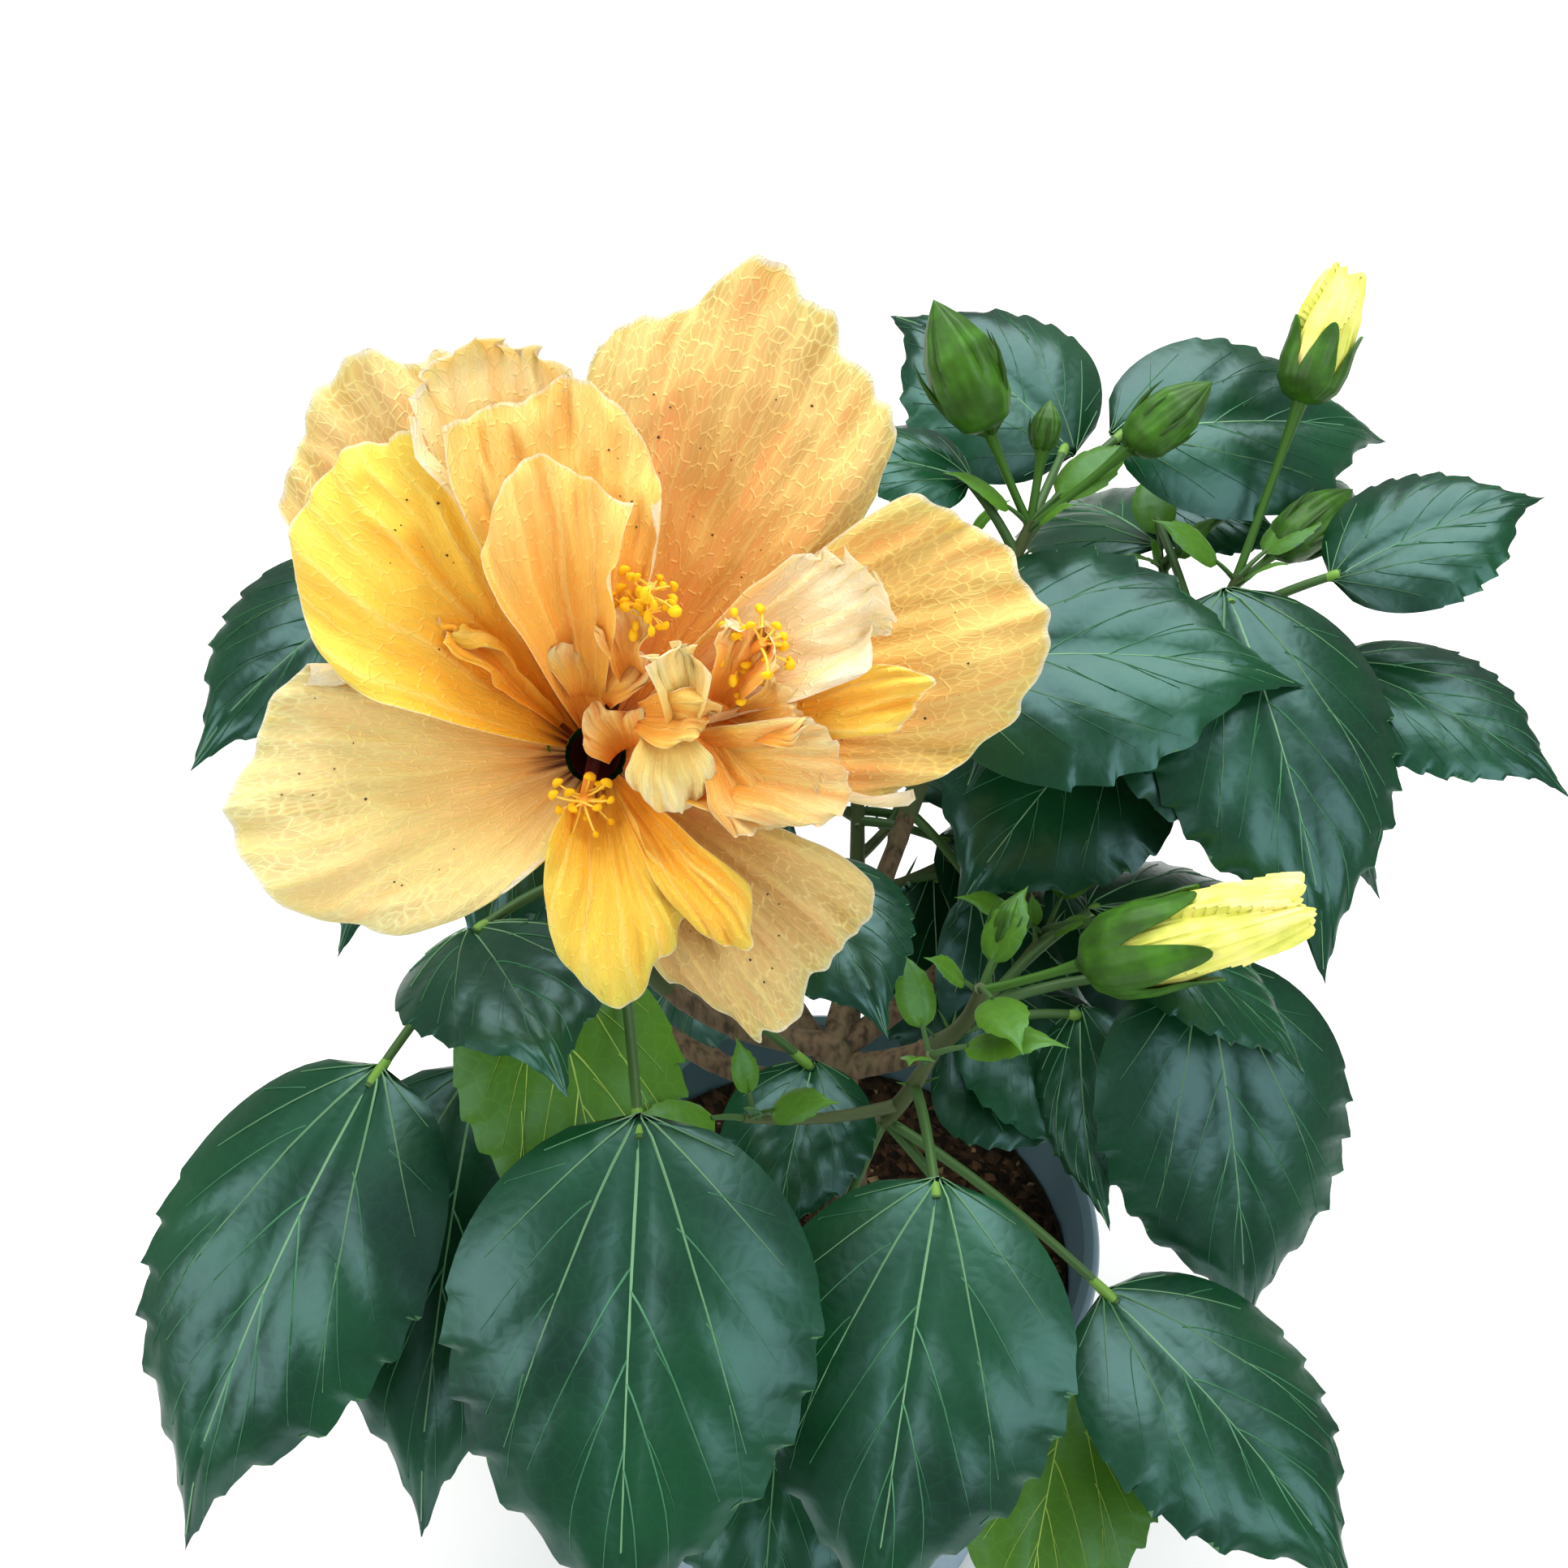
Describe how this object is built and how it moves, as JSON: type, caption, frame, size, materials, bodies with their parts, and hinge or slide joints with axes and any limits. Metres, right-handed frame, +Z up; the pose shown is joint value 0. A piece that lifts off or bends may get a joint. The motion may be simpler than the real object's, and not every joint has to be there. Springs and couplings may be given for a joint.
{
  "type": "potted hibiscus shrub",
  "caption": "Young double-flowered hibiscus shrub with one open bloom, buds and toothed leaves, growing in a round tapered pot.",
  "frame": {"origin": "centre of the pot's flat underside, on the surface that it stands on", "axes": "+Z up, -Y towards the side that the bloom faces, +X to the right as seen from there"},
  "size_m": [0.2909, 0.3023, 0.3488],
  "materials": {
    "pot": "moulded satin",
    "soil": "loose crumbs",
    "bark": "fine bark",
    "leaf": "glossy leaf",
    "petal": "soft petal"
  },
  "bodies": {
    "root": {"pot": "pot", "soil": "soil", "trunk": "bark", "bough_bloom": "bark", "bough_left": "bark", "bough_front": "bark", "bough_right": "bark", "bough_far_right": "bark", "bough_back": "bark", "bough_back_left": "bark", "bough_rear": "bark", "bloom": "petal", "foliage_bloom": "leaf", "foliage_left": "leaf", "foliage_front": "leaf", "foliage_right": "leaf", "foliage_far_right": "leaf", "foliage_back": "leaf", "foliage_back_left": "leaf", "foliage_rear": "leaf"}
  },
  "joints": []
}
